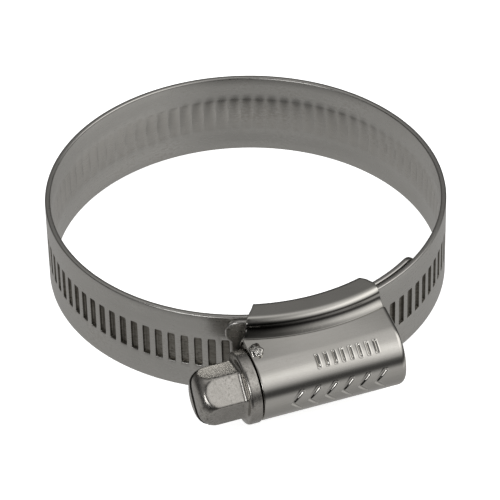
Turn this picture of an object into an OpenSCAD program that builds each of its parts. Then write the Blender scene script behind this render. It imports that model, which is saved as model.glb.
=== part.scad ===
// Worm drive hose clamp: one embossed steel band that laps over itself, a pressed housing
// that holds both laps, and a hex head screw whose worm thread bites the band's slots.
// Origin: on the hose axis, at the middle of the band's width. +Z is along the hose,
// the housing is on the -Y side and the screw lies along X with its head towards -X.

/* [Band] */
// inside diameter of the open band
hose_d = 54.4; // [45:0.2:66]
// width of the band
band_w = 13; // [11:0.25:16]
// thickness of the band
band_t = 0.8; // [0.6:0.05:1]
// free space between the two laps
lap_gap = 0.2; // [0.14:0.02:0.3]
// length of the slots across the band
slot_l = 4.8; // [4:0.1:6]
// depth of the slots in the band's outer face
slot_depth = 0.42; // [0.36:0.01:0.5]
// height of the teeth that the slots raise on the inner face
tooth_h = 0.15; // [0.05:0.05:0.3]

/* [Housing] */
// outside diameter of the worm tube
tube_d = 9.8; // [9.2:0.1:11]
// length of the worm tube
tube_l = 20.6; // [19:0.2:24]
// thickness of the pressed sheet
sheet_t = 0.8; // [0.6:0.05:0.9]
// length of the plate between hose and band
base_l = 12; // [8:0.5:14]

/* [Screw] */
// width across the flats of the head
head_flats = 7; // [6:0.25:8]
// length of the hex head
head_l = 6.4; // [5:0.1:8]
// thickness of the collar
collar_t = 1.7; // [1.3:0.1:3]
// width of the screwdriver slot
driver_slot_w = 0.9; // [0.7:0.1:1.4]
// turn of the head about its axis
head_turn = 13.7; // [0:0.1:60]

/* [Hidden] */

// The band is a spiral of two half turns, each an arc of its own centre, so that the
// second lap lies one lap step outside the first. Slots are counted along the band from
// the middle of the housing: the first half turn holds 46 and the second holds 47.
lap_step = band_t + lap_gap;
first_half = 46;
second_half = 47;
one_turn = first_half + second_half;
first_r = hose_d / 2 + band_t / 2;
second_r = first_r + lap_step / 2;
tail_r = first_r + lap_step;
strip_r = first_r - lap_step / 2;
first_angle = 180 / first_half;
second_angle = 180 / second_half;
tail_angle = second_angle * second_r / tail_r;
strip_angle = first_angle * first_r / strip_r;

// Rigid lengths of the band, in slots: each link is four slots long, and hinge_gap is
// cut between two links so that they can turn inwards.
link_slots = 4;
anchor_slots = 2;
smooth_slots = 5;
tail_slots = 1.75;
strip_end = 9.8;
hinge_gap = 0.06;
band_edge_r = 0.3;
slot_w = 0.55 * PI * first_r / first_half;
strip_corner = 2.4;
lobe_r = 2.05;

// The worm lies across the outer lap, and its thread reaches into the slots.
outer_face = tail_r + band_t / 2;
thread_pitch = PI * (second_r + band_t / 2) / second_half;
thread_reach = slot_depth - 0.05;
thread_clearance = 0.1;
tube_r = tube_d / 2;
bore_r = tube_r - sheet_t;
thread_r = bore_r - thread_clearance;
axis_r = outer_face + thread_r - thread_reach;
root_r = thread_r - 0.95;
thread_from = -6.8;
thread_to = 7.2;
tube_right = tube_l / 2 - 0.7;
tube_left = tube_right - tube_l;
screw_to = tube_right - 0.5;

// The saddle is a sheet bent around both laps, with side_gap beside the band's edges.
side_gap = 0.15;
channel_in = hose_d / 2 - 0.45;
channel_out = outer_face + 0.15;
channel_z = band_w / 2 + side_gap;
saddle_in = channel_in - sheet_t;
saddle_z = channel_z + sheet_t;
saddle_out = channel_out + sheet_t;
edge_r = 0.65;
fillet_r = 1.7;
crease_r = saddle_out + 1.15;
crease_z = saddle_z - edge_r - sqrt(pow(fillet_r, 2) - pow(saddle_out + fillet_r - crease_r, 2));

collar_r = tube_r + 0.1;
collar_right = tube_left - 0.25;
collar_left = collar_right - collar_t;
head_end = collar_left - head_l;
neck_r = root_r - 0.05;

$fn = 64;

// Each length of band is one arc, named by its middle slot: the strip before slot 0, the
// first and second half turns, or the tail after them. These give the arc's middle
// radius, how far its centre lies off the origin, and the angle that slot k has on it.
function arc_r(middle) =
    middle < 0 ? strip_r
    : middle < first_half ? first_r
    : middle < one_turn ? second_r
    : tail_r;

function arc_centre(middle) =
    middle < 0 || (middle >= first_half && middle < one_turn) ? -lap_step / 2 : 0;

function arc_angle(middle, k) =
    middle < 0 ? -90 - k * strip_angle
    : middle < first_half ? -90 - k * first_angle
    : middle < one_turn ? -270 - (k - first_half) * second_angle
    : -450 - (k - one_turn) * tail_angle;

// The band's cross-section, with rounded edges, at radius r.
module band_profile(r) {
    for (side = [-1, 1])
        for (face = [-1, 1])
            translate([r + face * (band_t / 2 - band_edge_r), side * (band_w / 2 - band_edge_r)])
                circle(band_edge_r, $fn = 24);
    translate([r - band_t / 2 + band_edge_r, -band_w / 2])
        square([band_t - 2 * band_edge_r, band_w]);
    translate([r - band_t / 2, -band_w / 2 + band_edge_r])
        square([band_t, band_w - 2 * band_edge_r]);
}

// A plain length of band from slot a to slot b, short of each by half a hinge gap.
module band_arc(a, b) {
    middle = (a + b) / 2;
    half_gap = hinge_gap / arc_r(middle) * 90 / PI;
    from = arc_angle(middle, b) + half_gap;
    to = arc_angle(middle, a) - half_gap;
    translate([0, arc_centre(middle), 0])
        rotate([0, 0, from])
            rotate_extrude(angle = to - from, $fn = 180)
                band_profile(arc_r(middle));
}

// Puts its children at the middle of slot k's step, on the arc of that middle.
module at_slot(middle, k) {
    translate([0, arc_centre(middle), 0])
        rotate([0, 0, arc_angle(middle, k + 0.5)])
            translate([arc_r(middle), 0, 0])
                children();
}

// A length of band with one pressed slot in the middle of each step from a to b.
module slotted_arc(a, b) {
    middle = (a + b) / 2;
    difference() {
        union() {
            band_arc(a, b);
            for (k = [a : b - 1])
                if (k >= smooth_slots)
                    at_slot(middle, k)
                        translate([-band_t / 2 - tooth_h, -slot_w / 2 + 0.08, -slot_l / 2 + 0.15])
                            cube([tooth_h + 0.1, slot_w - 0.16, slot_l - 0.3]);
        }
        for (k = [a : b - 1])
            if (k >= smooth_slots)
                at_slot(middle, k)
                    translate([band_t / 2 - slot_depth, -slot_w / 2, -slot_l / 2])
                        cube([slot_depth + 0.2, slot_w, slot_l]);
    }
}

module band_link(n) {
    a = anchor_slots + (n - 1) * link_slots;
    color("#a9a8a4")
        slotted_arc(a, a + link_slots);
}

// The middle of the inner lap, held fast in the housing.
module band_anchor() {
    color("#a3a29e")
        band_arc(-anchor_slots, anchor_slots);
}

// The smooth end of the band that runs on under the outer lap.
module band_strip_01() {
    color("#a6a5a1")
        band_arc(-anchor_slots - link_slots, -anchor_slots);
}

module band_strip_02() {
    color("#a9a8a4")
        intersection() {
            band_arc(-strip_end, -anchor_slots - link_slots);
            nose(arc_angle(-1, -strip_end), strip_r, -lap_step / 2)
                strip_outline();
        }
}

// The free end of the band, with a rounded nose.
module band_tail() {
    last = anchor_slots + 24 * link_slots;
    color("#acaba7")
        intersection() {
            band_arc(last, last + tail_slots);
            nose(arc_angle(last, last + tail_slots), tail_r, 0)
                tail_outline();
        }
}

// What a rounded end keeps: a block with two round corners, its tip at angle a.
module nose(a, r, centre_y) {
    translate([0, centre_y, 0])
        rotate([0, 0, a])
            translate([r + 2, 0, 0])
                rotate([0, -90, 0])
                    linear_extrude(height = 4)
                        children();
}

module strip_outline() {
    for (side = [-1, 1])
        translate([side * (band_w / 2 - strip_corner), -strip_corner])
            circle(strip_corner, $fn = 64);
    translate([-band_w / 2 + strip_corner, -8])
        square([band_w - 2 * strip_corner, 8]);
    translate([-band_w / 2, -8])
        square([band_w, 8 - strip_corner]);
}

// The free end was cut across a slot, which leaves a round lobe on either side of it.
module tail_outline() {
    for (side = [-1, 1])
        translate([side * (band_w / 2 - lobe_r), lobe_r])
            circle(lobe_r, $fn = 64);
    translate([-band_w / 2, lobe_r])
        square([band_w, 8]);
}

// The saddle's cross-section on one side of the band, from the plate inside the ring
// over the band's edge and down a hollow flank to the tube.
module saddle_profile() {
    difference() {
        union() {
            translate([saddle_in, 0])
                square([saddle_out - saddle_in, saddle_z - edge_r]);
            translate([saddle_in + edge_r, 0])
                square([saddle_out - saddle_in - 2 * edge_r, saddle_z]);
            for (r = [saddle_in + edge_r, saddle_out - edge_r])
                translate([r, saddle_z - edge_r])
                    circle(edge_r, $fn = 32);
            translate([saddle_out - 0.1, 0])
                square([crease_r - saddle_out + 0.1, saddle_z - edge_r]);
        }
        translate([saddle_out + fillet_r, saddle_z - edge_r])
            circle(fillet_r, $fn = 48);
    }
}

// The saddle seen along the hose: a slanted left end and a rounded right corner.
module saddle_outline() {
    polygon([
        [-8.2, -saddle_in + 1.6], [-11.9, -saddle_in - 2.9], [-11.3, -axis_r + 2.2],
        [tube_left + 0.3, -axis_r], [tube_right - 0.3, -axis_r],
        [tube_right - 0.15, -axis_r + 2.6], [9.2, -saddle_in - 2.6],
        [8.95, -saddle_in - 0.9], [8.3, -saddle_in + 0.2],
        [7.2, -saddle_in + 0.9], [5.8, -saddle_in + 2.2]
    ]);
}

module saddle() {
    intersection() {
        rotate([0, 0, -90 - 30])
            for (flip = [0, 1])
                mirror([0, 0, flip])
                    rotate_extrude(angle = 60, $fn = 180)
                        saddle_profile();
        translate([0, 0, -saddle_z - 1])
            linear_extrude(height = 2 * saddle_z + 2)
                saddle_outline();
    }
}

// A turned shape about the worm's axis, drawn as [radius, distance along X].
module turned() {
    translate([0, -axis_r, 0])
        rotate([0, 90, 0])
            rotate_extrude($fn = 96)
                children();
}

module housing() {
    color("#b3b1ab")
        difference() {
            union() {
                saddle();
                turned()
                    translate([0, tube_left])
                        square([tube_r, tube_l]);
            }
            channel();
            turned()
                translate([0, tube_left - 1])
                    square([bore_r, tube_l + 2]);
            base_ends();
            seam();
            collar_way();
        }
}

// Room for the screw's collar between the saddle's sides.
module collar_way() {
    turned()
        translate([0, tube_left - 3])
            square([collar_r + 0.15, 2.95]);
}

// The way through the saddle for both laps.
module channel() {
    rotate([0, 0, -90 - 32])
        rotate_extrude(angle = 64, $fn = 180)
            translate([channel_in, -channel_z])
                square([channel_out - channel_in, 2 * channel_z]);
}

// The plate inside the ring stops short of the saddle's ends, so the band can close.
module base_ends() {
    for (side = [-1, 1])
        translate([side * (base_l / 2 + 5) - 5, -hose_d / 2 - 0.1, -channel_z + 0.35])
            cube([10, 6, 2 * channel_z - 0.7]);
}

// A fine groove where the rolled tube's edge closes against the saddle.
module seam() {
    rotate([0, 0, -90 - 12])
        rotate_extrude(angle = 34, $fn = 180)
            translate([crease_r - 0.08, crease_z - 0.1])
                square([0.16, 0.22]);
}

// The screw: slotted hex head, collar and the neck that turns in the tube's mouth.
module screw() {
    color("#8f8d88")
        difference() {
            union() {
                head();
                turned()
                    collar_outline();
                turned()
                    translate([0, collar_right - 0.1])
                        square([neck_r, thread_from - collar_right + 0.1]);
            }
            driver_slot();
        }
}

module collar_outline() {
    edge = 0.35;
    translate([0, collar_left + edge])
        square([collar_r, collar_t - edge - 0.15]);
    translate([0, collar_left])
        square([collar_r - edge, collar_t]);
    translate([collar_r - edge, collar_left + edge])
        circle(edge, $fn = 32);
}

module head() {
    intersection() {
        translate([head_end, -axis_r, 0])
            rotate([0, 90, 0])
                rotate([0, 0, head_turn])
                    cylinder(r = head_flats / sqrt(3), h = head_l + 0.2, $fn = 6);
        turned()
            head_dome();
    }
}

// The head's rounded end, which cuts the hexagon's corners back.
module head_dome() {
    flat = head_flats / 2;
    polygon([
        [0, head_end], [flat - 1.2, head_end + 0.1], [flat - 0.6, head_end + 0.3],
        [flat - 0.15, head_end + 0.7], [flat + 0.2, head_end + 1.25],
        [flat + 0.65, head_end + 2.4], [flat + 0.65, collar_left + 0.1],
        [0, collar_left + 0.1]
    ]);
}

module driver_slot() {
    translate([head_end, -axis_r, 0])
        rotate([-28, 0, 0])
            translate([-1, -driver_slot_w / 2, -5])
                cube([2.2, driver_slot_w, 10]);
}

// The worm: one thread wound along its core. It starts at the angle that puts its crest
// in the slots on either side of the housing's middle.
thread_start = 90 - 360 * (thread_pitch / 2 - thread_from) / thread_pitch;

function thread_radius(a) =
    a < 46 ? thread_r
    : a < 118 ? thread_r - (thread_r - root_r) * (a - 46) / 72
    : a < 242 ? root_r
    : a < 314 ? root_r + (thread_r - root_r) * (a - 242) / 72
    : thread_r;

module worm_thread() {
    turns = (thread_to - thread_from) / thread_pitch;
    color("#98968f") {
        translate([thread_from, -axis_r, 0])
            rotate([0, 90, 0])
                rotate([0, 0, thread_start])
                    linear_extrude(
                        height = thread_to - thread_from, twist = -360 * turns, slices = 132,
                        $fn = 24
                    )
                        polygon([
                            for (a = [0 : 15 : 345]) thread_radius(a) * [cos(a), sin(a)]
                        ]);
        turned()
            translate([0, thread_to - 0.1])
                square([root_r - 0.05, screw_to - thread_to + 0.1]);
    }
}

housing();
screw();
worm_thread();
band_anchor();
band_strip_01();
band_strip_02();
band_tail();
band_link(1);  // band_link_01
band_link(2);  // band_link_02
band_link(3);  // band_link_03
band_link(4);  // band_link_04
band_link(5);  // band_link_05
band_link(6);  // band_link_06
band_link(7);  // band_link_07
band_link(8);  // band_link_08
band_link(9);  // band_link_09
band_link(10);  // band_link_10
band_link(11);  // band_link_11
band_link(12);  // band_link_12
band_link(13);  // band_link_13
band_link(14);  // band_link_14
band_link(15);  // band_link_15
band_link(16);  // band_link_16
band_link(17);  // band_link_17
band_link(18);  // band_link_18
band_link(19);  // band_link_19
band_link(20);  // band_link_20
band_link(21);  // band_link_21
band_link(22);  // band_link_22
band_link(23);  // band_link_23
band_link(24);  // band_link_24
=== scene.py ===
import math

import bmesh
import bpy
from mathutils import Matrix, Vector


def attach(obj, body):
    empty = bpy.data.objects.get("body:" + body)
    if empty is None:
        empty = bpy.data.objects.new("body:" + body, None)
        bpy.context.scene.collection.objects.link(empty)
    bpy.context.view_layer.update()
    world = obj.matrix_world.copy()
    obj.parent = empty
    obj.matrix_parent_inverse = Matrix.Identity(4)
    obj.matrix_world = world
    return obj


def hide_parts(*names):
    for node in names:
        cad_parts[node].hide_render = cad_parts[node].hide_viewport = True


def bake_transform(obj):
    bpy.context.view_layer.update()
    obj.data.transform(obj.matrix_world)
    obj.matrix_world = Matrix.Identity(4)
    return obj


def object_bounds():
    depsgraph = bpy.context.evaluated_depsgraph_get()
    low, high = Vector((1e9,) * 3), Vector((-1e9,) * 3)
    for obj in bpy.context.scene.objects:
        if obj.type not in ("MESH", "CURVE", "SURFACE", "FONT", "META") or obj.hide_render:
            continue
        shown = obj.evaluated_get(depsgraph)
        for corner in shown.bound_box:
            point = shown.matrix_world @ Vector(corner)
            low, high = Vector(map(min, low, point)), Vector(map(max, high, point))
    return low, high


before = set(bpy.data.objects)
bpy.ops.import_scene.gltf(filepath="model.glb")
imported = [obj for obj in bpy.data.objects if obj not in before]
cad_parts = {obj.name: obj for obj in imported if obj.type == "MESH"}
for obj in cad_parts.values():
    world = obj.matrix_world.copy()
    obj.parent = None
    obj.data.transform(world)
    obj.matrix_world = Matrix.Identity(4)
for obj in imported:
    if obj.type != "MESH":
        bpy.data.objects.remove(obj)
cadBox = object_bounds()
mm = 0.001
print("frame loaded:", len(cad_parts), "nodes")

cameraSetup = {
    "place": (-0.1216, -0.3428, 0.2865),
    "heading": -19.626,  # degrees about the hose axis
    "tilt": 51.34,  # degrees up from looking straight down
    "roll": -1.406,
    "lens": 234.0,
    "shift": (0.0025, 0.0022),
}


def makeCamera(setup):
    data = bpy.data.cameras.new("camera")
    camera = bpy.data.objects.new("camera", data)
    bpy.context.scene.collection.objects.link(camera)
    data.lens = setup["lens"]
    data.sensor_width = 36
    data.shift_x, data.shift_y = setup["shift"]
    data.clip_start = 0.01
    data.clip_end = 20
    turn = Matrix.Rotation(math.radians(setup["heading"]), 4, "Z")
    lean = Matrix.Rotation(math.radians(setup["tilt"]), 4, "X")
    roll = Matrix.Rotation(math.radians(setup["roll"]), 4, "Z")
    camera.matrix_world = Matrix.Translation(setup["place"]) @ turn @ lean @ roll
    bpy.context.scene.camera = camera


makeCamera(cameraSetup)


def newSkin():
    return {"points": [], "faces": [], "slots": [], "seen": {}, "where": []}


def addPoint(skin, key, place, uv=(0, 0)):
    # the same key gives the same point, so neighbouring patches join up
    if key not in skin["seen"]:
        skin["seen"][key] = len(skin["points"])
        skin["points"].append(place)
        skin["where"].append(uv)
    return skin["seen"][key]


def addFace(skin, corners, slot=0):
    kept = [c for n, c in enumerate(corners) if c != corners[n - 1]]
    if len(kept) > 2:
        skin["faces"].append(kept)
        skin["slots"].append(slot)


def addRows(skin, rows, wrap=False, slot=0):
    for low, high in zip(rows, rows[1:]):
        for n in range(len(low) if wrap else len(low) - 1):
            m = (n + 1) % len(low)
            addFace(skin, [low[n], low[m], high[m], high[n]], slot)


def finishPiece(skin, name, materials, sharpAngle=38):
    mesh = bpy.data.meshes.new(name)
    mesh.from_pydata(skin["points"], [], skin["faces"])
    for material in materials:
        mesh.materials.append(material)
    layer = mesh.uv_layers.new(name="UVMap")
    for loop in mesh.loops:
        layer.data[loop.index].uv = skin["where"][loop.vertex_index]
    for face, slot in zip(mesh.polygons, skin["slots"]):
        face.material_index = slot
    work = bmesh.new()
    work.from_mesh(mesh)
    bmesh.ops.recalc_face_normals(work, faces=work.faces)
    for face in work.faces:
        face.smooth = True
    work.to_mesh(mesh)
    work.free()
    mesh.set_sharp_from_angle(angle=math.radians(sharpAngle))
    piece = bpy.data.objects.new(name, mesh)
    bpy.context.scene.collection.objects.link(piece)
    return piece


def spread(low, high, count):
    return [low + (high - low) * n / count for n in range(count + 1)]


def lerp(pairs, x):
    # straight lines through (x, value) pairs, flat beyond both ends
    if x <= pairs[0][0]:
        return pairs[0][1]
    for (x0, y0), (x1, y1) in zip(pairs, pairs[1:]):
        if x <= x1:
            return y0 + (y1 - y0) * (x - x0) / (x1 - x0)
    return pairs[-1][1]


def addNode(tree, kind, inputs=(), **settings):
    node = tree.nodes.new(kind)
    for name, value in settings.items():
        setattr(node, name, value)
    for name, value in dict(inputs).items():
        if isinstance(value, bpy.types.NodeSocket):
            tree.links.new(value, node.inputs[name])
        else:
            node.inputs[name].default_value = value
    return node


def addNoise(tree, where, size, scale=1.0, detail=3.0, rough=0.55):
    mapping = addNode(tree, "ShaderNodeMapping", {"Vector": where, "Scale": size})
    noise = addNode(
        tree, "ShaderNodeTexNoise",
        {"Vector": mapping.outputs[0], "Scale": scale, "Detail": detail, "Roughness": rough},
    )
    return noise.outputs["Fac"]


def addMath(tree, operation, a, b=0.0, c=None):
    inputs = {0: a, 1: b}
    if c is not None:
        inputs[2] = c
    return addNode(tree, "ShaderNodeMath", inputs, operation=operation).outputs[0]


def addRange(tree, value, fromLow, fromHigh, toLow, toHigh, smooth=False):
    node = addNode(
        tree, "ShaderNodeMapRange",
        {"Value": value, "From Min": fromLow, "From Max": fromHigh, "To Min": toLow,
         "To Max": toHigh},
        interpolation_type="SMOOTHSTEP" if smooth else "LINEAR",
    )
    return node.outputs[0]


def mixColors(tree, share, a, b, blend="MIX"):
    node = addNode(tree, "ShaderNodeMix", data_type="RGBA", blend_type=blend)
    for socket, value in ((node.inputs[0], share), (node.inputs[6], a), (node.inputs[7], b)):
        if isinstance(value, bpy.types.NodeSocket):
            tree.links.new(value, socket)
        else:
            socket.default_value = value
    return node.outputs[2]


innerFaceShift = 20.0  # the inner face's texture rows start this far along, in mm

steelLooks = {
    # the driver slot's cut faces: a near-black copy of the screw steel, painted shade inside the slot
    "grooveShadeSteel": {
        "light": (0.10, 0.095, 0.085, 1), "dark": (0.03, 0.028, 0.025, 1),
        "stainAndShade": (0.02, 0.018, 0.015, 1), "stainShare": 0.5,
        "grain": (2500.0, 2500.0, 2500.0), "roughLow": 0.35, "roughHigh": 0.6,
        "bump": 0.3, "coords": "Object",
    },
    "bandSteel": {
        "light": (0.60, 0.59, 0.565, 1), "dark": (0.49, 0.48, 0.455, 1),
        "stainAndShade": (0.36, 0.33, 0.29, 1), "stainShare": 0.35,
        "grain": (0.35, 9.0, 1.0), "roughLow": 0.24, "roughHigh": 0.36,
        "bump": 0.10, "coords": "UV", "toothShade": 0.2,
    },
    # the slots' walls and floor: a darker copy of the band steel, painted shade in the pressed recess
    "slotShadeSteel": {
        "light": (0.37, 0.355, 0.32, 1), "dark": (0.11, 0.10, 0.085, 1),
        "stainAndShade": (0.10, 0.09, 0.08, 1), "stainShare": 0.6,
        "grain": (1.5, 3.0, 1.0), "roughLow": 0.34, "roughHigh": 0.5,
        "bump": 0.2, "coords": "UV",
    },
    "housingSteel": {
        "light": (0.63, 0.615, 0.585, 1), "dark": (0.56, 0.545, 0.51, 1),
        "stainAndShade": (0.47, 0.44, 0.40, 1), "stainShare": 0.15,
        "grain": (300.0, 9000.0, 9000.0), "roughLow": 0.10, "roughHigh": 0.18,
        # hollow: how much painted shade goes into the hollow between saddle and tube
        "bump": 0.035, "coords": "Object", "hollow": 0.85,
    },
    "screwSteel": {
        "light": (0.58, 0.56, 0.53, 1), "dark": (0.36, 0.345, 0.32, 1),
        "stainAndShade": (0.13, 0.12, 0.105, 1), "stainShare": 0.55,
        "grain": (2500.0, 2500.0, 2500.0), "roughLow": 0.16, "roughHigh": 0.38,
        "bump": 0.32, "coords": "Object",
    },
}


hollowShadeLook = {
    # painted shade laid into the hollow between saddle and tube, and its dark colour
    # in metres: distance from the hose axis, height from the middle, and place along X
    "starts": (0.0295, 0.0300), "ends": (0.0309, 0.03115), "above": (0.0050, 0.00515),
    "fades": (-0.006, 0.008), "rightShare": 0.35, "color": (0.03, 0.028, 0.025, 1),
}


def paintHollowShade(tree, coords, color, share):
    # painted shade: the drawn hollow between saddle and tube is darkened in colour, most of all towards
    # the screw's head
    look = hollowShadeLook
    x, y, z = addNode(tree, "ShaderNodeSeparateXYZ", {0: coords}).outputs
    flat = addNode(tree, "ShaderNodeCombineXYZ", {0: x, 1: y}).outputs[0]
    out = addNode(tree, "ShaderNodeVectorMath", {0: flat}, operation="LENGTH").outputs[1]
    high = addMath(tree, "ABSOLUTE", z)
    dark = addMath(tree, "MULTIPLY", addRange(tree, out, *look["starts"], 0.0, 1.0, smooth=True),
                   addRange(tree, out, *look["ends"], 1.0, 0.0, smooth=True))
    dark = addMath(tree, "MULTIPLY", dark, addRange(tree, high, *look["above"], 0.0, 1.0))
    fade = addRange(tree, x, *look["fades"], share, look["rightShare"] * share)
    dark = addMath(tree, "MULTIPLY", dark, fade)
    return mixColors(tree, dark, color, look["color"])


def makeSteel(name, look):
    material = bpy.data.materials.new(name)
    material.use_nodes = True
    tree = material.node_tree
    shader = tree.nodes["Principled BSDF"]
    shader.inputs["Metallic"].default_value = 1.0
    coords = addNode(tree, "ShaderNodeTexCoord").outputs[look["coords"]]
    unit = 1.0 if look["coords"] == "UV" else 1000.0
    grain = addNoise(tree, coords, look["grain"], 1.0, 4.0, 0.6)
    patches = addNoise(tree, coords, (0.16 * unit,) * 3, 1.0, 4.0, 0.6)
    specks = addNoise(tree, coords, (3.2 * unit,) * 3, 1.0, 3.0, 0.6)
    tone = addMath(tree, "ADD", addRange(tree, grain, 0.3, 0.7, 0.0, 0.5),
                   addRange(tree, patches, 0.35, 0.65, 0.0, 0.5))
    color = mixColors(tree, tone, look["dark"], look["light"])
    if "toothShade" in look:
        # painted shade along the row of teeth on the inner face, darkest in the middle of each step, in
        # the stain colour
        u, v, _ = addNode(tree, "ShaderNodeSeparateXYZ", {0: coords}).outputs
        off = addMath(tree, "ABSOLUTE", addMath(tree, "SUBTRACT", v, innerFaceShift))
        row = addRange(tree, off, 2.3, 2.9, look["toothShade"], 0.0, smooth=True)
        along = addMath(tree, "SUBTRACT", addMath(tree, "FRACT", u), 0.5)
        along = addMath(tree, "ABSOLUTE", along)
        row = addMath(tree, "MULTIPLY", row, addRange(tree, along, 0.1, 0.5, 1.0, 0.45))
        color = mixColors(tree, row, color, look["stainAndShade"])
    # painted shade in the hollow between saddle and tube
    if "hollow" in look:
        color = paintHollowShade(tree, coords, color, look["hollow"])
    stainAndShade = addRange(tree, addMath(tree, "MULTIPLY", patches, specks), 0.27, 0.42, 0.0,
                     look["stainShare"], smooth=True)
    color = mixColors(tree, stainAndShade, color, look["stainAndShade"])
    tree.links.new(color, shader.inputs["Base Color"])
    rough = addMath(tree, "MULTIPLY_ADD", grain, 0.5, addMath(tree, "MULTIPLY", specks, 0.5))
    rough = addRange(tree, rough, 0.3, 0.7, look["roughLow"], look["roughHigh"])
    tree.links.new(rough, shader.inputs["Roughness"])
    height = addMath(tree, "ADD", grain, addMath(tree, "MULTIPLY", specks, 0.5))
    bump = addNode(tree, "ShaderNodeBump",
                   {"Height": height, "Strength": look["bump"], "Distance": 0.00004})
    tree.links.new(bump.outputs[0], shader.inputs["Normal"])
    return material


steels = {name: makeSteel(name, look) for name, look in steelLooks.items()}
print("steel finishes made")

bandShape = {
    "insideDiameter": 54.4, "width": 13.0, "thickness": 0.8, "lapStep": 1.0,
    "edgeRadius": 0.26,
    "firstHalf": 46, "secondHalf": 47,  # slots in each half turn
    "plainSteps": 5,  # no slots before this one
    "slotLength": 4.8, "slotWidth": 1.04, "slotDepth": 0.42, "slotCorner": 0.17,
    "toothHeight": 0.19, "toothLength": 5.5,
    "stripEnd": -9.8, "stripCorner": 2.4,
    "tailEnd": 99.75, "tailNotch": 99.22, "lobeRadius": 2.05,
    "stepsAlong": 8, "stepsAcross": 12,
}


def bandArc(k):
    # middle radius, the arc's centre along Y, and the angle at slot k
    shape = bandShape
    first = shape["insideDiameter"] / 2 + shape["thickness"] / 2
    half, step = shape["firstHalf"], shape["lapStep"]
    second = first + step / 2
    full = half + shape["secondHalf"]
    if k < 0:
        radius = first - step / 2
        return radius, -step / 2, -90 - k * 180 / half * first / radius
    if k < half:
        return first, 0, -90 - k * 180 / half
    if k < full:
        return second, -step / 2, -270 - (k - half) * 180 / shape["secondHalf"]
    radius = first + step
    return radius, 0, -450 - (k - full) * 180 / shape["secondHalf"] * second / radius


def bandPlace(k, out, z):
    radius, centreY, angle = bandArc(k)
    turn = math.radians(angle)
    reach = radius + out
    return (reach * math.cos(turn) * mm, (reach * math.sin(turn) + centreY) * mm, z * mm)


pitch = math.pi * (bandShape["insideDiameter"] + bandShape["thickness"]) / 2 / bandShape["firstHalf"]


def endShape(k):
    # half width and half thickness of the band at slot k, rounded off at both free ends
    shape = bandShape
    wide, thick = shape["width"] / 2, shape["thickness"] / 2
    left = (k - shape["stripEnd"]) * pitch
    if left < shape["stripCorner"]:
        corner = shape["stripCorner"]
        wide = wide - corner + math.sqrt(max(0, corner**2 - (corner - left) ** 2))
    right = (shape["tailEnd"] - k) * pitch
    if right < shape["lobeRadius"]:
        corner = shape["lobeRadius"]
        wide = wide - corner + math.sqrt(max(0, corner**2 - (corner - right) ** 2))
    edge = shape["edgeRadius"]
    near = min(left, right)
    if near < edge:
        thick = thick - edge + math.sqrt(max(0, edge**2 - (edge - near) ** 2))
    return wide / (shape["width"] / 2), thick / (shape["thickness"] / 2)


def bandPoint(skin, k, out, z):
    wide, thick = endShape(k)
    key = (round(k, 4), round(out, 4), round(z, 4))
    return addPoint(skin, key, bandPlace(k, out * thick, z * wide), (k, z))


def roundedRect(x, y, halfX, halfY, corner):
    inX, inY = halfX - corner, halfY - corner
    if abs(x) > inX and abs(y) > inY:
        dx, dy = abs(x) - inX, abs(y) - inY
        far = math.hypot(dx, dy)
        return math.copysign(inX + dx / far * corner, x), math.copysign(inY + dy / far * corner, y)
    return x, y


def ringOfRect(halfX, halfY, along, across):
    # points round a rectangle, from its low corner, along X first
    low = [(x, -halfY) for x in spread(-halfX, halfX, along)]
    right = [(halfX, y) for y in spread(-halfY, halfY, across)[1:]]
    top = [(x, halfY) for x in spread(halfX, -halfX, along)[1:]]
    left = [(-halfX, y) for y in spread(halfY, -halfY, across)[1:-1]]
    return low + right + top + left


def addSlot(skin, k):
    # the outer face of one step with its pressed slot, from the step's outline to the floor
    shape = bandShape
    along, across = shape["stepsAlong"], shape["stepsAcross"]
    thick = shape["thickness"] / 2
    halfX, halfY = shape["slotWidth"] / 2, shape["slotLength"] / 2
    rim = ringOfRect(0.5, 3.2, along, across)
    rings = [[bandPoint(skin, k + 0.5 + x, thick, y) for x, y in rim]]
    depth = shape["slotDepth"]
    steps = [  # (how far outside the slot's outline, depth below the face)
        (0.10, 0.0), (0.045, 0.012), (0.012, 0.045), (0.0, 0.1), (-0.02, 0.3),
        (-0.07, depth - 0.03),
    ]
    for grow, drop in steps:
        ring = []
        for x, y in ringOfRect(halfX + grow, halfY + grow, along, across):
            x, y = roundedRect(x, y, halfX + grow, halfY + grow, shape["slotCorner"] + grow / 2)
            ring.append(bandPoint(skin, k + 0.5 + x / pitch, thick - drop, y))
        rings.append(ring)
    # the slot's walls from here on, and its floor below, take material 1, the darker slot steel, as
    # painted shade
    addRows(skin, rings[:4], wrap=True)
    addRows(skin, rings[3:], wrap=True, slot=1)
    last = rings[-1]
    count = len(last)
    rows = []
    for j in range(across + 1):
        left = last[(count - j) % count] if j else last[0]
        right = last[along + j]
        row = [left]
        y = (-1 + 2 * j / across) * (halfY - 0.07)
        for i in range(1, along):
            if j == 0:
                row.append(last[i])
            elif j == across:
                row.append(last[2 * along + across - i])
            else:
                x = (-1 + 2 * i / along) * (halfX - 0.07)
                slope = depth + 0.05 * x / halfX - 0.05 * (y / halfY) ** 2
                row.append(bandPoint(skin, k + 0.5 + x / pitch, thick - slope, y))
        row.append(right)
        rows.append(row)
    addRows(skin, rows, slot=1)


def toothOut(k, z):
    # how far the inner face stands in where a slot has been pressed through
    shape = bandShape
    step = math.floor(k + 1e-6)
    if step < shape["plainSteps"] or k > shape["tailNotch"] or abs(z) > shape["toothLength"] / 2:
        return 0
    across = 1 - (2 * z / shape["toothLength"]) ** 2
    along = 1 - abs(2 * (k - step) - 1) ** 2.2
    return shape["toothHeight"] * max(0, along) * across**0.7


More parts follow.
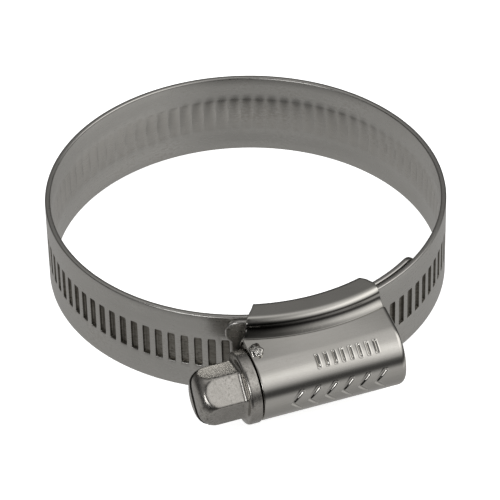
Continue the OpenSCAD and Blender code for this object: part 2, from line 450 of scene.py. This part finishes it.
def bandSection():
    # the band's section as (out, z) points, from the outer face round both edges
    shape = bandShape
    thick, edge = shape["thickness"] / 2, shape["edgeRadius"]
    straight = shape["width"] / 2 - edge
    face = [straight, 5.4, 4.2] + spread(3.2, -3.2, shape["stepsAcross"]) + [-4.2, -5.4, -straight]
    inner = [-straight, -5.0, -3.8, -2.75, -2.6, -2.3, -1.9, -1.3, -0.65, 0]
    inner += [-z for z in inner[-2::-1]]
    low = [(thick - edge + edge * math.cos(t), -straight - edge * math.sin(t))
           for t in [math.radians(22.5 * n) for n in range(1, 5)]]
    low += [(-out, z) for out, z in low[::-1]]
    high = [(-out, -z) for out, z in low]
    return [(thick, z) for z in face] + low + [(-thick, z) for z in inner] + high


def addStep(skin, k, stations, slotted):
    # one step of the band, all but the end faces
    thick = bandShape["thickness"] / 2
    section = bandSection()
    rows = []
    for out, z in section + section[:1]:
        row = []
        for s in stations:
            wide, share = endShape(s)
            key = (round(s, 4), round(out, 4), round(z, 4))
            tooth = toothOut(s, z) if out == -thick else 0
            place = bandPlace(s, out * share - tooth, z * wide)
            row.append(addPoint(skin, key, place, (s, z + (innerFaceShift if out < 0 else 0))))
        rows.append(row)
    if slotted:
        addSlot(skin, k)
        addRows(skin, rows[:4])
        addRows(skin, rows[3 + bandShape["stepsAcross"]:])
    else:
        addRows(skin, rows)


def addEndFace(skin, k):
    keys = [(round(k, 4), round(out, 4), round(z, 4)) for out, z in bandSection()]
    addFace(skin, [skin["seen"][key] for key in keys])


def addProngs(skin):
    # the two round prongs beside the last slot, which is cut through at the tail's end
    shape = bandShape
    thick, edge, corner = shape["thickness"] / 2, shape["edgeRadius"], shape["lobeRadius"]
    length = (shape["tailEnd"] - shape["tailNotch"]) * pitch
    for side in (-1, 1):
        middle = side * (shape["width"] / 2 - corner)
        rows = []
        for n, back in enumerate([length, 0.8, 0.6, 0.42, 0.28, 0.16, 0.07, 0.02, 0.0]):
            half = max(0.3, math.sqrt(corner**2 - (corner - back) ** 2))
            flat = thick - edge + math.sqrt(max(0, edge**2 - max(0, edge - back) ** 2))
            flat = max(flat, 0.12)
            row = []
            for m in range(32):
                turn = math.radians(360 * (m + 0.5) / 32)
                z = half * math.copysign(abs(math.cos(turn)) ** 0.35, math.cos(turn))
                out = flat * math.copysign(abs(math.sin(turn)) ** 0.35, math.sin(turn))
                k = shape["tailEnd"] - back / pitch
                place = bandPlace(k, out, middle + z)
                uv = (k, middle + z + (innerFaceShift if out < 0 else 0))
                row.append(addPoint(skin, ("prong", side, n, m), place, uv))
            rows.append(row)
        addRows(skin, rows, wrap=True)
        addFace(skin, rows[0])
        addFace(skin, rows[-1])


def bandPiece(name, fromSlot, toSlot):
    shape = bandShape
    skin = newSkin()
    first = math.floor(fromSlot + 1e-6)
    for k in range(first, math.ceil(toSlot - 1e-6)):
        low, high = max(fromSlot, k), min(toSlot, k + 1)
        stations = [k + n / shape["stepsAlong"] for n in range(shape["stepsAlong"] + 1)]
        stations = [s for s in stations if low - 1e-6 <= s <= high + 1e-6]
        if low > k + 1e-6 or high < k + 1 - 1e-6:
            tip = low if low > k + 1e-6 else high
            near = [tip + (1 if tip == low else -1) * d / pitch
                    for d in (0, 0.02, 0.07, 0.15, 0.26, 0.45)]
            stations = sorted(set([s for s in stations if abs(s - tip) > 0.27] + near))
        slotted = shape["plainSteps"] <= k and k + 1 <= toSlot + 1e-6
        addStep(skin, k, stations, slotted)
    addEndFace(skin, fromSlot)
    addEndFace(skin, toSlot)
    if toSlot == shape["tailNotch"]:
        addProngs(skin)
    return finishPiece(skin, name, [steels["bandSteel"], steels["slotShadeSteel"]])


# each length of band, as: name, the two bodies, the slots between which it bends, the slots
# it covers and the nodes it stands in for
bandSpans = [
    ("band_end_02", "strip_01", "strip_02", (-4, -8), (-9.8, -4), ["band_strip_02"]),
    ("band_end_01", "housing", "strip_01", (0, -4), (-4, 0), ["band_strip_01"]),
    ("band_span_01", "housing", "link_01", (0, 4), (0, 6), ["band_anchor", "band_link_01"]),
]
for n in range(1, 12):
    before = "link_%02d" % n
    after = "link_%02d" % (n + 1) if n < 11 else "tail"
    stands = ["band_link_%02d" % (2 * n), "band_link_%02d" % (2 * n + 1)]
    low, high = 8 * n - 2, 8 * n + 6
    covers = (low, high)
    if n == 11:
        stands += ["band_link_24", "band_tail"]
        covers = (low, bandShape["tailNotch"])
    bandSpans.append(("band_span_%02d" % (n + 1), before, after, (low, high), covers, stands))


def makeBand():
    for name, before, after, bends, covers, stands in bandSpans:
        piece = bandPiece(name, *covers)
        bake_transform(piece)
        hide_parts(*stands)


makeBand()
print("band made:", len(bandSpans), "lengths")


housingShape = {
    "axis": 32.63, "tubeRadius": 4.9, "boreRadius": 4.1, "left": -11.0, "right": 9.6,
    "sheet": 0.8, "baseIn": 25.95, "topZ": 7.45, "outer": 29.95, "bend": 1.1, "fillet": 1.7,
    "filletZ": 6.8, "baseHalf": 6.0, "crease": 31.1, "creaseZ": 5.19, "proud": 0.22, "rim": 0.26,
    "endRoll": 0.75, "endDrop": 0.55, "endClose": 0.45, "mouthEdge": 0.13,
    "baseBend": 0.65, "cutEdge": 0.16,
    # how far the plate in the ring widens into the sides, and the distance out it reaches
    "baseWidens": (5.6, 1.3), "baseReach": 27.2,
    # the sheet's cut ends, as (distance out from the hose axis, X)
    "leftCut": [(24.35, -7.4), (25.95, -8.5), (28.6, -10.6), (30.0, -12.2), (30.5, -12.0),
                (31.1, -11.4), (32.6, -10.7)],
    "rightCut": [(24.8, 6.9), (25.1, 7.4), (25.75, 8.3), (26.85, 8.95), (28.55, 9.2),
                 (30.0, 9.35), (32.6, 9.5)],
}


def arcPoints(centre, radius, low, high, count):
    return [(centre[0] + radius * math.cos(math.radians(a)),
             centre[1] + radius * math.sin(math.radians(a))) for a in spread(low, high, count)]


def saddlePath():
    # the middle line of the saddle's sheet, as (distance from the hose axis, z) for z > 0
    shape = housingShape
    half = shape["sheet"] / 2
    inBend, outBend = shape["baseBend"] - half, shape["bend"] - half
    top = shape["topZ"] - half
    inner, outer = shape["baseIn"] + half, shape["outer"] - half
    path = [(inner, z) for z in spread(0, top - inBend, 14)[:-1]]
    path += arcPoints((inner + inBend, top - inBend), inBend, 180, 90, 8)
    path += [(r, top) for r in spread(inner + inBend, outer - outBend, 12)[1:-1]]
    path += arcPoints((outer - outBend, top - outBend), outBend, 90, 0, 12)
    centre = (shape["outer"] + shape["fillet"], shape["filletZ"])
    if top - outBend > centre[1]:
        path += [(outer, z) for z in spread(top - outBend, centre[1], 2)[1:-1]]
    path += arcPoints(centre, shape["fillet"] + half, 180, 262, 18)[0 if top - outBend > centre[1] else 1:]
    return path


def cutAngle(reach, cut):
    # the angle about the hose axis at which a point this far out meets a cut end
    turn = 0.0
    for _ in range(25):
        turn = math.asin(max(-1, min(1, lerp(cut, reach * math.cos(turn)) / reach)))
    return turn


def makeSaddle(skin):
    shape = housingShape
    path = saddlePath()
    path = [(r, -z) for r, z in path[:0:-1]] + path
    normals = []
    for n in range(len(path)):
        before, after = path[max(n - 1, 0)], path[min(n + 1, len(path) - 1)]
        dr, dz = after[0] - before[0], after[1] - before[1]
        size = math.hypot(dr, dz)
        normals.append((-dz / size, dr / size))
    half, edge, count = shape["sheet"] / 2, shape["cutEdge"], 44
    widensFrom, widensOver = shape["baseWidens"]
    grids = []
    for face in (1, -1):
        rows = []
        for (r, z), (nr, nz) in zip(path, normals):
            low, high = cutAngle(r, shape["leftCut"]), cutAngle(r, shape["rightCut"])
            baseTurn = shape["baseHalf"] / r
            rise = min(1.0, max(0.0, (abs(z) - widensFrom) / widensOver))
            rise = rise * rise * (3 - 2 * rise) if r < shape["baseReach"] else 1.0
            low = -baseTurn + (low + baseTurn) * rise
            high = baseTurn + (high - baseTurn) * rise
            row = []
            trims = [(edge * (1 - math.cos(math.radians(t))),
                      edge * (1 - math.sin(math.radians(t)))) for t in (0, 22.5, 45, 67.5)]
            turns = [(low + along / r, thin) for along, thin in trims]
            turns += [(t, 0) for t in spread(low + edge / r, high - edge / r, count)]
            turns += [(high - along / r, thin) for along, thin in trims[::-1]]
            for n, (turn, thin) in enumerate(turns):
                off = face * (half - thin)
                reach, up = r + nr * off, z + nz * off
                key = ("saddle", face, len(rows), n)
                place = (reach * math.sin(turn) * mm, -reach * math.cos(turn) * mm, up * mm)
                row.append(addPoint(skin, key, place))
            rows.append(row)
        grids.append(rows)
        addRows(skin, rows)
    front, back = grids
    for n in (0, -1):
        addRows(skin, [front[n], back[n]])
        addRows(skin, [[row[n] for row in front], [row[n] for row in back]])


tubeMarks = {
    "depth": 0.16, "width": 0.36,
    "chevrons": [-6.3, -3.9, -1.5, 0.9, 3.3, 5.7], "chevronSize": (1.4, 3.2), "chevronAt": -0.6,
    "ticks": [-2.6, -1.4, -0.2, 1.0, 2.2, 3.4, 4.6, 5.8], "tickSize": 1.5, "tickAt": 4.6,
}


def markLines():
    # strokes on the tube as ((x, s), (x, s)); s is the way round from the outermost line
    marks = tubeMarks
    lines = []
    wide, tall = marks["chevronSize"]
    for x in marks["chevrons"]:
        at = marks["chevronAt"]
        for side in (-1, 1):
            lines.append(((x - wide / 2, at), (x + wide / 2, at + side * tall / 2)))
    for x in marks["ticks"]:
        low = marks["tickAt"] - marks["tickSize"] / 2
        lines.append(((x, low), (x, low + marks["tickSize"])))
    return lines


def markDepth(x, s, lines):
    near = 9.0
    for (x0, s0), (x1, s1) in lines:
        if min(x0, x1) - 0.3 < x < max(x0, x1) + 0.3 and min(s0, s1) - 0.3 < s < max(s0, s1) + 0.3:
            dx, ds = x1 - x0, s1 - s0
            share = ((x - x0) * dx + (s - s0) * ds) / (dx * dx + ds * ds)
            share = max(0.0, min(1.0, share))
            near = min(near, math.hypot(x - x0 - share * dx, s - s0 - share * ds))
    half = tubeMarks["width"] / 2
    if near > 2.2 * half:
        return 0.0
    if near > half:  # the pushed-up rim of a stroke
        return -0.22 * tubeMarks["depth"] * math.sin((near - half) / (1.2 * half) * math.pi)
    return tubeMarks["depth"] * (1 - (near / half) ** 2)


def tubeSection(x, radius, creaseZ):
    # half of the tube's outline at x, from the crease to the outermost line, as
    # (distance out from the worm's axis towards the housing's outside, z, way round)
    shape = housingShape
    toCrease = shape["axis"] - math.sqrt(shape["crease"] ** 2 - x * x)
    far = math.hypot(toCrease, creaseZ)
    angle = math.atan2(creaseZ, -toCrease)
    tangent = angle - math.acos(min(1, radius / far))
    startOut, startZ = radius * math.cos(tangent), radius * math.sin(tangent)
    points = []
    for share in [0, 0.02, 0.05, 0.09, 0.14] + spread(0.2, 1, 14)[:-1]:
        out = -toCrease + (startOut + toCrease) * share
        z = creaseZ + (startZ - creaseZ) * share
        flank = math.hypot(startOut + toCrease, startZ - creaseZ)
        way = radius * tangent + (1 - share) * flank
        short = shape["rim"] - share * flank
        if short > 0:  # the edge at the crease is rounded over
            z -= shape["rim"] - math.sqrt(shape["rim"] ** 2 - short**2)
        points.append((out, z, way))
    for turn in spread(tangent, 0, 76):
        points.append((radius * math.cos(turn), radius * math.sin(turn), radius * turn))
    return points


def makeTube(skin):
    shape = housingShape
    lines = markLines()
    left, right = shape["left"], shape["right"]
    roll, edge = shape["endRoll"], shape["mouthEdge"]
    xs = [left, left + 0.03, left + 0.08, left + edge]
    xs += spread(left + edge, right - roll, 196)[1:]
    xs += [right - roll * math.cos(math.radians(t)) for t in spread(0, 90, 12)[1:]]
    outer, inner = [], []
    for n, x in enumerate(xs):
        drop = 0.0
        if x < left + edge:
            drop = edge - math.sqrt(max(0, edge**2 - (left + edge - x) ** 2))
        if x > right - roll:
            part = (x - (right - roll)) / roll
            drop = shape["endDrop"] * (1 - math.sqrt(max(0, 1 - part * part)))
        closing = max(0.0, (x - right + 2 * roll) / (2 * roll))
        inset = shape["endClose"] * closing**2
        creaseZ = shape["creaseZ"]
        half = tubeSection(x, shape["tubeRadius"] - drop, creaseZ + shape["proud"] - drop)
        bore = tubeSection(x, shape["boreRadius"] - inset, creaseZ - shape["sheet"] - inset)
        outerRow, innerRow = [], []
        both = [(p, 1) for p in half] + [(p, -1) for p in half[-2::-1]]
        for m, ((out, z, way), side) in enumerate(both):
            dip = markDepth(x, side * way, lines) if drop == 0 else 0
            far = math.hypot(out, z)
            out, z = out * (1 - dip / far), z * (1 - dip / far)
            place = (x * mm, -(shape["axis"] + out) * mm, side * z * mm)
            outerRow.append(addPoint(skin, ("tube", 1, n, m), place))
        both = [(p, 1) for p in bore] + [(p, -1) for p in bore[-2::-1]]
        for m, ((out, z, way), side) in enumerate(both):
            place = (x * mm, -(shape["axis"] + out) * mm, side * z * mm)
            innerRow.append(addPoint(skin, ("tube", -1, n, m), place))
        outer.append(outerRow)
        inner.append(innerRow)
    addRows(skin, outer)
    addRows(skin, inner)
    for n in (0, -1):
        addRows(skin, [outer[n], inner[n]])
        addRows(skin, [[row[n] for row in outer], [row[n] for row in inner]])


crimpShape = {"place": (-9.95, -31.7, 4.95), "size": (1.0, 1.25, 0.7), "crumple": 0.16}


def makeCrimp(skin):
    # the corner of the tube's edge, crushed into the saddle to hold it
    shape = crimpShape
    rows = []
    for n in range(25):
        lean = math.pi * n / 24
        row = []
        for m in range(36):
            turn = 2 * math.pi * m / 36
            way = (math.sin(lean) * math.cos(turn), math.sin(lean) * math.sin(turn), math.cos(lean))
            wave = math.sin(3 * turn + 4 * lean) * math.sin(2 * lean) + 0.6 * math.sin(5 * turn - 3 * lean)
            grow = 1 + shape["crumple"] * wave * math.sin(lean)
            place = tuple((p + w * grow * r) * mm
                          for p, w, r in zip(shape["place"], way, shape["size"]))
            key = ("crimp", n, 0 if n in (0, 24) else m)
            row.append(addPoint(skin, key, place))
        rows.append(row)
    addRows(skin, rows, wrap=True)


def makeHousing():
    skin = newSkin()
    makeSaddle(skin)
    makeTube(skin)
    makeCrimp(skin)
    piece = finishPiece(skin, "housing_shell", [steels["housingSteel"]], 42)
    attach(piece, "housing")
    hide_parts("housing")


makeHousing()
print("housing made")

screwShape = {
    "flats": 7.0, "cornerPower": 64, "headEnd": -19.35, "collarLeft": -12.95,
    "collarRight": -11.25, "collarRadius": 5.05, "neck": 3.0, "neckEnd": -6.7, "turn": 13.7,
    "dome": [(-19.35, 0.0), (-19.34, 1.0), (-19.3, 1.9), (-19.18, 2.55), (-18.95, 3.0),
             (-18.6, 3.35), (-18.1, 3.68), (-17.5, 3.9), (-16.8, 4.1), (-12, 5.5)],
    "hexBlend": 0.1, "footFillet": 0.55, "footSpread": 0.75, "collarRim": 0.42, "collarEdge": 0.15,
    "slotWidth": 1.1, "slotDepth": 1.3, "slotTurn": -38, "slotLength": 12, "slotBevel": 0.07,
}


def hexReach(turn):
    # half width of a hexagon with softened corners in the direction turn (degrees)
    shape = screwShape
    total = 0.0
    for n in range(6):
        side = math.cos(math.radians(turn - shape["turn"] - 60 * n - 30))
        total += max(0.0, side) ** shape["cornerPower"]
    return shape["flats"] / 2 * total ** (-1 / shape["cornerPower"])


def softMin(a, b, blend):
    gap = max(0.0, 1 - abs(a - b) / blend)
    return min(a, b) - gap * gap * blend / 4


def screwReach(x, turn):
    shape = screwShape
    left, right = shape["collarLeft"], shape["collarRight"]
    if x < left:
        reach = softMin(hexReach(turn), lerp(shape["dome"], x), shape["hexBlend"])
        foot = shape["footFillet"]
        if x > left - foot:
            part = (x - left + foot) / foot
            reach += (1 - math.sqrt(max(0, 1 - part * part))) * shape["footSpread"]
        return reach
    rim, edge = shape["collarRim"], shape["collarEdge"]
    if x <= left + rim:
        return shape["collarRadius"] - rim + math.sqrt(max(0, rim**2 - (left + rim - x) ** 2))
    if right - edge <= x <= right:
        rounded = math.sqrt(max(0, edge**2 - (x - right + edge) ** 2))
        return shape["collarRadius"] - edge + rounded
    if x < right:
        return shape["collarRadius"]
    return shape["neck"]


def turnedPiece(name, stations, reachAt, around, materials, sharpAngle=35):
    # a skin about the worm's axis, closed by a point at both ends
    skin = newSkin()
    axis = housingShape["axis"]
    rows = []
    for n, x in enumerate(stations):
        row = []
        for m in range(around):
            turn = 360 * m / around
            reach = reachAt(x, turn)
            a = math.radians(turn)
            place = (x * mm, -(axis + reach * math.cos(a)) * mm, reach * math.sin(a) * mm)
            row.append(addPoint(skin, (n, m), place))
        rows.append(row)
    addRows(skin, rows, wrap=True)
    for row, x in ((rows[0], stations[0]), (rows[-1], stations[-1])):
        tip = addPoint(skin, ("tip", x), (x * mm, -axis * mm, 0))
        for m in range(around):
            addFace(skin, [row[m], row[(m + 1) % around], tip])
    return finishPiece(skin, name, materials, sharpAngle)


def cutDriverSlot(piece):
    shape = screwShape
    box = bmesh.new()
    bmesh.ops.create_cube(box, size=1)
    size = (shape["slotDepth"] * 2 * mm, shape["slotWidth"] * mm, shape["slotLength"] * mm)
    bmesh.ops.scale(box, verts=box.verts, vec=size)
    mesh = bpy.data.meshes.new("slotCutter")
    # the cut faces take the groove steel, painted shade inside the driver slot
    for face in box.faces:
        face.material_index = 1
    box.to_mesh(mesh)
    box.free()
    for name in ("screwSteel", "grooveShadeSteel"):
        mesh.materials.append(steels[name])
    cutter = bpy.data.objects.new("slotCutter", mesh)
    bpy.context.scene.collection.objects.link(cutter)
    cutter.matrix_world = (
        Matrix.Translation((shape["headEnd"] * mm, -housingShape["axis"] * mm, 0))
        @ Matrix.Rotation(math.radians(shape["slotTurn"]), 4, "X")
    )
    cut = piece.modifiers.new("slot", "BOOLEAN")
    cut.object = cutter
    cut.operation = "DIFFERENCE"
    cut.solver = "EXACT"
    soften = piece.modifiers.new("soften", "BEVEL")
    soften.width = shape["slotBevel"] * mm
    soften.segments = 2
    soften.limit_method = "ANGLE"
    soften.angle_limit = math.radians(50)
    soften.use_clamp_overlap = True
    bpy.context.view_layer.update()
    ready = piece.evaluated_get(bpy.context.evaluated_depsgraph_get())
    made = bpy.data.meshes.new_from_object(ready)
    piece.modifiers.clear()
    piece.data = made
    made.set_sharp_from_angle(angle=math.radians(40))
    bpy.data.objects.remove(cutter)


def makeScrew():
    shape = screwShape
    left, right = shape["collarLeft"], shape["collarRight"]
    xs = [shape["headEnd"] + d for d in (0.003, 0.01, 0.025, 0.05, 0.09, 0.14, 0.2, 0.28, 0.38, 0.5,
                                         0.62, 0.75, 0.9, 1.05, 1.25, 1.45, 1.7, 1.95, 2.2, 2.5)]
    xs += spread(-16.7, left - 0.6, 30)
    foot, rim, edge = shape["footFillet"], shape["collarRim"], shape["collarEdge"]
    xs += [left - foot * (1 - math.sin(math.radians(t))) for t in spread(0, 84, 8)]
    xs += [left + rim * (1 - math.cos(math.radians(t))) for t in spread(0, 90, 7)]
    xs += spread(left + 0.5, right - 0.2, 6)
    xs += [right - edge * math.cos(math.radians(t)) for t in spread(0, 90, 4)]
    xs += [right + 0.0005, right + 0.5, shape["neckEnd"]]
    piece = turnedPiece("screw_head", xs, screwReach, 144,
                        [steels["screwSteel"], steels["grooveShadeSteel"]])
    cutDriverSlot(piece)
    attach(piece, "screw")
    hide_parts("screw")


makeScrew()

wormShape = {
    "root": 3.05, "crest": 3.97, "pitch": 1.905, "start": -6.8, "stop": 7.2, "end": 9.1,
    "groove": 0.34, "flank": 0.4,  # shares of half a turn
    "runOut": 0.9, "endStep": 0.08,
}


def wormReach(x, turn):
    # the thread is a soft-edged ridge; its crest lies in the slots beside the middle
    shape = wormShape
    if x > shape["stop"]:
        return shape["root"] - shape["endStep"]
    phase = (x / shape["pitch"] - 0.5 - turn / 360) % 1
    off = abs(phase - 0.5) * 2
    ridge = max(0.0, min(1.0, (off - shape["groove"]) / shape["flank"]))
    ridge = ridge * ridge * (3 - 2 * ridge)
    near = min(x - shape["start"], shape["stop"] - x)
    runIn = min(1.0, near / shape["runOut"])
    return shape["root"] + (shape["crest"] - shape["root"]) * ridge * max(0.0, runIn)


def makeWorm():
    shape = wormShape
    xs = spread(shape["start"], shape["stop"], 180)
    xs += [shape["stop"] + 0.02] + spread(shape["stop"] + 0.4, shape["end"] - 0.12, 3)
    xs += [shape["end"] - 0.04]
    piece = turnedPiece("worm", xs, wormReach, 72, [steels["screwSteel"]])
    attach(piece, "screw")
    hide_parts("worm_thread")


makeWorm()
print("screw made")

stageLook = {
    "floorHalf": 3.0, "floorDrop": 0.0002, "floorColor": (0.9, 0.9, 0.9, 1), "floorGlow": 0.78,
}


def makeStage():
    look = stageLook
    mesh = bpy.data.meshes.new("floor")
    half, low = look["floorHalf"], cadBox[0].z - look["floorDrop"]
    mesh.from_pydata([(-half, -half, low), (half, -half, low), (half, half, low), (-half, half, low)],
                     [], [(0, 1, 2, 3)])
    floor = bpy.data.objects.new("floor", mesh)
    bpy.context.scene.collection.objects.link(floor)
    material = bpy.data.materials.new("paleFloor")
    material.use_nodes = True
    shader = material.node_tree.nodes["Principled BSDF"]
    shader.inputs["Base Color"].default_value = look["floorColor"]
    shader.inputs["Roughness"].default_value = 0.9
    shader.inputs["Specular IOR Level"].default_value = 0.1
    shader.inputs["Emission Color"].default_value = (1, 1, 1, 1)
    shader.inputs["Emission Strength"].default_value = look["floorGlow"]
    mesh.materials.append(material)
    floor.visible_glossy = False


softboxes = [  # name, place, size, power and whether the steel mirrors it
    ("overheadFill", (0.1, -0.1, 1.2), (1.6, 1.6), 9.0, False),
    ("leftKicker", (-0.42, -0.36, 0.2), (0.3, 0.2), 0.7, True),
]


def makeSoftbox(name, place, size, power, glossy):
    data = bpy.data.lights.new(name, "AREA")
    data.shape = "RECTANGLE"
    data.size, data.size_y = size
    data.energy = power
    light = bpy.data.objects.new(name, data)
    bpy.context.scene.collection.objects.link(light)
    light.location = place
    light.rotation_mode = "QUATERNION"
    light.rotation_quaternion = (-Vector(place)).to_track_quat("-Z", "Y")
    light.visible_glossy = glossy


studioLook = {
    # brightness by the height of the direction looked in, -1 straight down to 1 straight up
    "front": [(-1.0, 0.32), (-0.85, 0.36), (-0.63, 0.44), (-0.4, 0.46), (-0.27, 0.32), (-0.14, 0.1),
              (0.0, 0.06), (0.13, 0.12), (0.26, 0.36), (0.39, 0.62), (0.51, 0.85), (0.62, 1.0),
              (0.71, 1.08), (0.8, 1.0), (0.87, 0.8), (0.92, 0.68), (1.0, 0.64)],
    "back": [(-1.0, 0.34), (-0.85, 0.38), (-0.63, 0.42), (-0.4, 0.4), (-0.14, 0.25), (0.0, 0.12),
             (0.3, 0.05), (0.62, 0.2), (0.76, 0.32), (0.84, 0.44), (0.9, 0.55), (0.94, 0.64),
             (1.0, 0.64)],
    # the front's share of that by how far to the right the direction points
    "across": [(-1.0, 0.4), (-0.5, 0.1), (-0.25, 0.1), (0.0, 0.45), (0.26, 1.0), (0.57, 1.45),
               (1.0, 1.3)],
}


def addRamp(tree, value, pairs):
    node = addNode(tree, "ShaderNodeFloatCurve", {"Factor": 1.0})
    curve = node.mapping.curves[0]
    peak = 2.0
    span = [((x + 1) / 2, y / peak) for x, y in pairs]
    curve.points[0].location, curve.points[-1].location = span[0], span[-1]
    for place in span[1:-1]:
        curve.points.new(*place)
    for point in curve.points:
        point.handle_type = "AUTO_CLAMPED"
    node.mapping.update()
    tree.links.new(addMath(tree, "MULTIPLY_ADD", value, 0.5, 0.5), node.inputs["Value"])
    return addMath(tree, "MULTIPLY", node.outputs[0], peak)


def makeWorld():
    world = bpy.data.worlds.new("studio")
    bpy.context.scene.world = world
    world.use_nodes = True
    tree = world.node_tree
    tree.nodes.clear()
    direction = addNode(tree, "ShaderNodeTexCoord").outputs["Generated"]
    parts = addNode(tree, "ShaderNodeSeparateXYZ", {0: direction})
    x, y, z = parts.outputs
    front = addRamp(tree, z, studioLook["front"])
    back = addRamp(tree, z, studioLook["back"])
    across = addRamp(tree, x, studioLook["across"])
    side = addRange(tree, y, -0.12, 0.3, 0.0, 1.0, smooth=True)
    over = addRange(tree, z, -0.6, -0.35, 0.0, 1.0, smooth=True)
    lift = addMath(tree, "MULTIPLY_ADD", addMath(tree, "SUBTRACT", across, 1.0), over, 1.0)
    frontLit = addMath(tree, "MULTIPLY", front, lift)
    glow = addMath(tree, "ADD", addMath(tree, "MULTIPLY", frontLit, addMath(tree, "SUBTRACT", 1.0, side)),
                   addMath(tree, "MULTIPLY", back, side))
    seen = addNode(tree, "ShaderNodeLightPath").outputs["Is Camera Ray"]
    glow = addMath(tree, "ADD", addMath(tree, "MULTIPLY", glow, addMath(tree, "SUBTRACT", 1.0, seen)),
                   seen)
    shader = addNode(tree, "ShaderNodeBackground", {"Color": (1, 0.99, 0.975, 1), "Strength": glow})
    addNode(tree, "ShaderNodeOutputWorld", {"Surface": shader.outputs[0]})


makeStage()
makeWorld()
for softbox in softboxes:
    makeSoftbox(*softbox)
bpy.context.scene.view_settings.view_transform = "Standard"
print("stage and light made")
